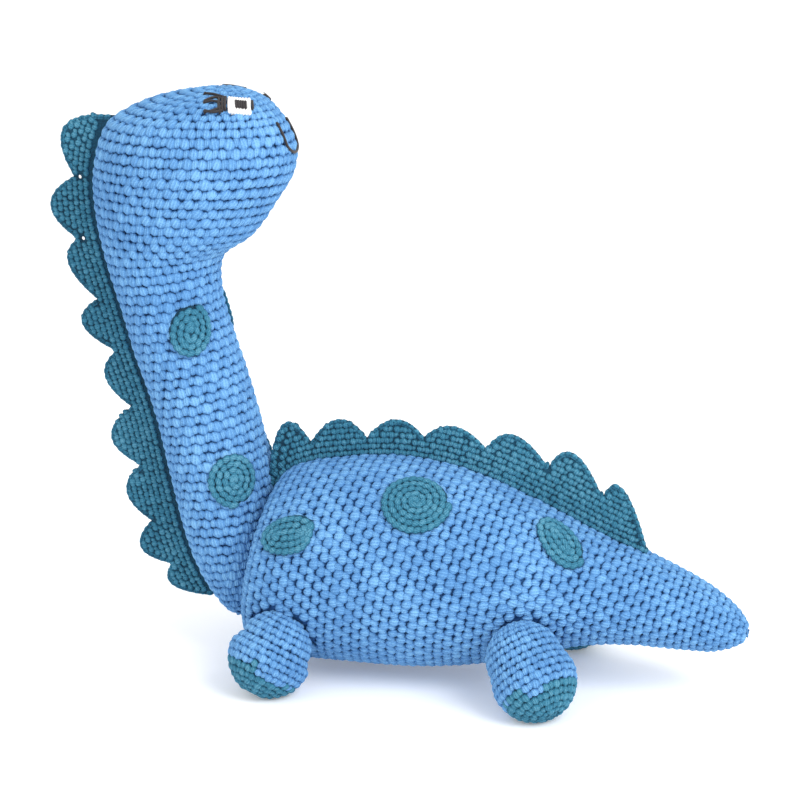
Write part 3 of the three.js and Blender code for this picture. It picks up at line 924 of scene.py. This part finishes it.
# A small map of a tube's surface: lengthways and upwards from one place, in metres.
class Spread:
    def __init__(self, tube, t, angle):
        self.tube, self.t, self.angle = tube, t, angle
        place = tube.frame(t, angle)
        self.point, self.out = place[0], place[3]
        sideways = Vector((1, 0, 0))
        self.first = (sideways - sideways.dot(self.out) * self.out).normalized()
        self.second = self.out.cross(self.first)
        if self.second.z < 0:
            self.second = -self.second
        step, turn = 0.01, 0.05
        self.perT = (tube.surface(t + step, angle) - tube.surface(t - step, angle)) / (2 * step)
        self.perAngle = (tube.surface(t, angle + turn) - tube.surface(t, angle - turn)) / (2 * turn)

    def at(self, across, upward):
        a, b, c = self.perT.length_squared, self.perT.dot(self.perAngle), self.perAngle.length_squared
        whole = a * c - b * b
        t, angle, point = self.t, self.angle, self.point
        for again in range(4):
            done = point - self.point
            move = (across - done.dot(self.first)) * self.first
            move = move + (upward - done.dot(self.second)) * self.second
            p, q = move.dot(self.perT), move.dot(self.perAngle)
            t, angle = t + (p * c - q * b) / whole, angle + (q * a - p * b) / whole
            point = self.tube.surface(t, angle)
        return point, self.tube.frame(t, angle)[3]


def makeSpot(name, side, values):
    tube = values["tube"]
    angle = math.radians(values["angle"])
    if "height" in values:
        t = findAlong(tube, angle, 2, values["height"] * mm)
    else:
        t = findAlong(tube, angle, 0, values["length"] * mm + shiftX)
    if side == "right":
        angle = math.pi - angle
    spread = Spread(tube, t, angle)
    tilt = math.radians(values["tilt"])
    wide, tall = (half * mm for half in values["size"])

    def turned(p, q):
        return p * math.cos(tilt) - q * math.sin(tilt), p * math.sin(tilt) + q * math.cos(tilt)

    # the fabric under the spiral has no stitch map, so it shows in the painted shade colour
    bm = bmesh.new()
    bmesh.ops.create_uvsphere(bm, u_segments=24, v_segments=10, radius=1)
    inset = spiral["underInset"]
    for vert in bm.verts:
        point, out = spread.at(*turned(vert.co.x * (wide - inset), vert.co.y * (tall - inset)))
        vert.co = point + out * (spiral["under"] + spiral["underHalf"] * vert.co.z)
    if bm.calc_volume(signed=True) < 0:
        bmesh.ops.reverse_faces(bm, faces=bm.faces)
    under = makePiece(name + "Under", bm, tealCotton)

    small = min(wide, tall)

    def onSpiral(turn):
        reach = spiral["ring"] * turn / (2 * math.pi)
        return turned((reach + wide - small) * math.cos(turn), (reach + tall - small) * math.sin(turn))

    loops, turn = [], spiral["start"]
    look = spiral["look"]
    slant = math.radians(spiral["slant"])
    while spiral["ring"] * turn / (2 * math.pi) <= small - spiral["margin"]:
        point, out = spread.at(*onSpiral(turn))
        ahead = spread.at(*onSpiral(turn + look))[0]
        along = (ahead - point - (ahead - point).dot(out) * out).normalized()
        along = Matrix.Rotation(slant, 3, out) @ along
        halves = tuple(half * mm * random.uniform(*spiral["varies"]) for half in spiral["loop"])
        loops.append((point + spiral["lift"] * out, along, out.cross(along), out, halves))
        turn += min(spiral["mostTurn"], look * spiral["step"] / max((ahead - point).length, 1e-5))
    piece = sew(side + "_" + name + "Spiral", under, loops, tealCotton)
    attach(piece, values["body"])
    standFor(piece, "teal_cotton", spiral["fill"], side + "_" + name)


for name, values in spots.items():
    for side in ("left", "right"):
        makeSpot(name, side, values)
print("spots ready")


# yarn that sews the neck to the body: slanted stitches across the crease

seam = {
    "step": 4.4 * mm, "loop": (2.5, 1.0, 1.05), "slant": 28, "lift": 0.5 * mm, "fill": 0.9,
    "slantVaries": 8, "sizeVaries": (0.9, 1.1), "from": 0.02, "reach": 0.3, "steps": 240, "knot": 0.5 * mm,
}


def seamLoops(path):      # path is the points of the crease, each with its outward direction
    loops, travelled = [], 0.0
    for (a, outA), (b, outB) in zip(path, path[1:]):
        travelled += (b - a).length
        if travelled < seam["step"]:
            continue
        travelled -= seam["step"]
        out = (outA + outB).normalized()
        tangent = (b - a - (b - a).dot(out) * out).normalized()
        slant = 90 - seam["slant"] + random.uniform(-seam["slantVaries"], seam["slantVaries"])
        along = Matrix.Rotation(math.radians(slant), 3, out) @ tangent
        halves = tuple(half * mm * random.uniform(*seam["sizeVaries"]) for half in seam["loop"])
        loops.append((b + out * seam["lift"], along, out.cross(along), out, halves))
    return loops


# The crease between the neck and the body on one side, from the front midline round.
def crease(side):
    found = []
    for i in range(seam["steps"]):
        t = seam["from"] + seam["reach"] * i / seam["steps"]
        for k in range(1, 90):
            angle = math.radians(90 - k)
            point, along, up, out = neckTube.frame(t, angle if side == "left" else math.pi - angle)
            if bodyTube.depth(point) < 0:
                if k > 2:     # otherwise the whole round is clear of the body
                    outward = bodyTube.tree.find_nearest(point)[1]
                    found.append((point, (out + outward).normalized()))
                break
    return found


def makeNeckSeam():
    path = crease("left") + crease("right")[::-1]
    bm = bmesh.new()
    bmesh.ops.create_icosphere(bm, subdivisions=1, radius=seam["knot"])
    bmesh.ops.translate(bm, verts=bm.verts, vec=path[0][0])
    piece = sew("neckSeam", makePiece("seamStart", bm, blueCotton), seamLoops(path), blueCotton)
    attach(piece, "torso")
    standFor(piece, "blue_cotton", seam["fill"], "neck_seam_yarn")


makeNeckSeam()


# face: satin stitches of white and dark thread

# places are x and z on the left side of the head, in mm
face = {
    "whiteBottom": [(-67.6, 246.0), (-60.6, 244.8)], "whiteTop": [(-69.9, 250.6), (-63.2, 249.7)],
    "pupilBottom": [(-65.7, 246.9), (-62.6, 246.4)], "pupilTop": [(-66.8, 249.0), (-63.6, 248.5)],
    "whiteRuns": 8, "pupilRuns": 5,
    "lashRoots": [
        [(-70.2, 246.2), (-72.2, 250.6)], [(-70.9, 245.8), (-73.4, 250.3)], [(-69.4, 246.6), (-71.4, 250.9)],
    ],
    "lashes": [
        [(-71.6, 250.6), (-76.1, 251.7), (-80.6, 251.9)], [(-71.8, 250.2), (-75.8, 250.9), (-78.6, 249.5)],
        [(-71.3, 248.7), (-75.2, 249.7), (-78.4, 249.1)], [(-70.6, 246.4), (-73.2, 245.6), (-77.0, 246.4)],
        [(-71.2, 247.6), (-73.6, 246.2), (-76.6, 246.0)],
    ],
    "corner": [[(-60.4, 246.3), (-61.9, 248.9)]],
    "mouth": [(-51.6, 239.9), (-49.6, 237.2), (-48.2, 233.4), (-47.4, 229.8)], "mouthBottom": 226.5,
    "farTurn": 0.12,     # the right eye and half mouth sit this much further round
    "whiteThread": 0.7 * mm, "darkThread": 0.56 * mm, "mouthThread": 0.62 * mm, "dive": 1.6 * mm,
    "whiteLift": 0.9 * mm, "pupilLift": 1.7 * mm, "lashLift": 1.1 * mm, "mouthLift": 0.7 * mm,
}
threads = {
    "whiteSatin": {
        "roughness": 0.5, "sheen": 0.2, "specular": 0.4, "scale": 1800.0, "bump": 0.5,
        "shade": colour(214, 214, 212), "shine": colour(250, 250, 248),
    },
    "darkThread": {
        "roughness": 0.6, "sheen": 0.15, "specular": 0.35, "scale": 1500.0, "bump": 0.6,
        "shade": colour(9, 8, 12), "shine": colour(50, 43, 44),
    },
    "detail": 2.0, "fibreHeight": 0.0001,
}


def threadMaterial(name, values):
    shader = Shader(name, values["roughness"], Sheen_Weight=values["sheen"],
                    Specular_IOR_Level=values["specular"])
    strands = shader.strands(values["scale"], threads["detail"])
    shader.feed("Base Color", shader.mix(strands, values["shade"], values["shine"]))
    shader.feed("Normal", shader.node("ShaderNodeBump", {}, {
        "Strength": values["bump"], "Distance": threads["fibreHeight"], "Height": strands,
    }))
    return shader.material


whiteSatin = threadMaterial("whiteSatin", threads["whiteSatin"])
darkThread = threadMaterial("darkThread", threads["darkThread"])


def findPoint(x, z):     # t and angle of the head's surface at this x and z, on the left side
    angle, steepest = 0.3, 0.98
    t = findAlong(neckTube, angle, 2, z * mm)
    for again in range(30):
        back, front = neckTube.surface(t, -math.pi / 2), neckTube.surface(t, math.pi / 2)
        share = (x * mm + shiftX - (back.x + front.x) / 2) / ((front.x - back.x) / 2)
        angle = math.asin(min(steepest, max(-steepest, share)))
        t = findAlong(neckTube, angle, 2, z * mm)
    return t, angle


def mirrored(angle):     # the angle of the right side's twin
    return math.pi - angle + face["farTurn"]


def rounded(run):     # the same run with its corners cut twice
    close = run
    for again in range(2):
        cut = []
        for a, b in zip(close, close[1:]):
            for share in (0.25, 0.75):
                cut.append([p + (q - p) * share for p, q in zip(a, b)])
        close = [run[0]] + cut + [run[-1]]
    return close


# Thread laid on the head. Each run is its (t, angle) places, and both of its ends dive into the fabric.
def thread(name, runs, radius, lift, material, side="left"):
    line = bpy.data.curves.new(name, "CURVE")
    line.dimensions = "3D"
    line.bevel_depth = radius
    line.bevel_resolution = 2
    line.resolution_u = 4
    line.use_fill_caps = True
    for run in runs:
        places = rounded(run)
        spline = line.splines.new("BEZIER")
        spline.bezier_points.add(len(places) - 1)
        for i, ((t, angle), knot) in enumerate(zip(places, spline.bezier_points)):
            point, along, up, out = neckTube.frame(t, mirrored(angle) if side == "right" else angle)
            dive = face["dive"] if i in (0, len(places) - 1) else 0
            knot.co = point + out * (lift - dive)
            knot.handle_left_type = knot.handle_right_type = "AUTO"
    curve = bpy.data.objects.new(name + "Line", line)
    scene.collection.objects.link(curve)
    bpy.context.view_layer.update()
    mesh = bpy.data.meshes.new_from_object(curve.evaluated_get(bpy.context.evaluated_depsgraph_get()))
    bpy.data.objects.remove(curve)
    mesh.materials.clear()
    mesh.materials.append(material)
    for polygon in mesh.polygons:
        polygon.use_smooth = True
    piece = bpy.data.objects.new(name, mesh)
    scene.collection.objects.link(piece)
    return piece


def satin(bottom, top, count):     # upright runs of thread side by side between two edges
    runs = []
    for i in range(count):
        share = i / (count - 1)
        low = [a + (b - a) * share for a, b in zip(*bottom)]
        high = [a + (b - a) * share for a, b in zip(*top)]
        middle = [(a + b) / 2 for a, b in zip(low, high)]
        runs.append([findPoint(*low), findPoint(*middle), findPoint(*high)])
    return runs


def makeEye(side):
    white = thread(side + "EyeWhite", satin(face["whiteBottom"], face["whiteTop"], face["whiteRuns"]),
                   face["whiteThread"], face["whiteLift"], whiteSatin, side)
    pupil = thread(side + "Pupil", satin(face["pupilBottom"], face["pupilTop"], face["pupilRuns"]),
                   face["darkThread"], face["pupilLift"], darkThread, side)
    hairs = face["lashRoots"] + face["lashes"] + face["corner"]
    runs = [[findPoint(*place) for place in hair] for hair in hairs]
    lashes = thread(side + "Lashes", runs, face["darkThread"], face["lashLift"], darkThread, side)
    for piece, node, slot in ((white, "_eye_white", "white_satin"), (pupil, "_pupil", "dark_thread"),
                              (lashes, "_lashes", "dark_thread")):
        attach(piece, "head_neck")
        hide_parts(side + node)


def makeMouth():
    left = [findPoint(*place) for place in face["mouth"]]
    bottom = (findAlong(neckTube, math.pi / 2, 2, face["mouthBottom"] * mm), math.pi / 2)
    right = [(t, mirrored(angle)) for t, angle in reversed(left)]
    run = left + [bottom] + right
    mouth = thread("mouthThread", [run], face["mouthThread"], face["mouthLift"], darkThread)
    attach(mouth, "head_neck")
    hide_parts("mouth_thread")


makeEye("left")
makeEye("right")
makeMouth()
print("face ready")


bpy.data.objects.remove(loopShape)
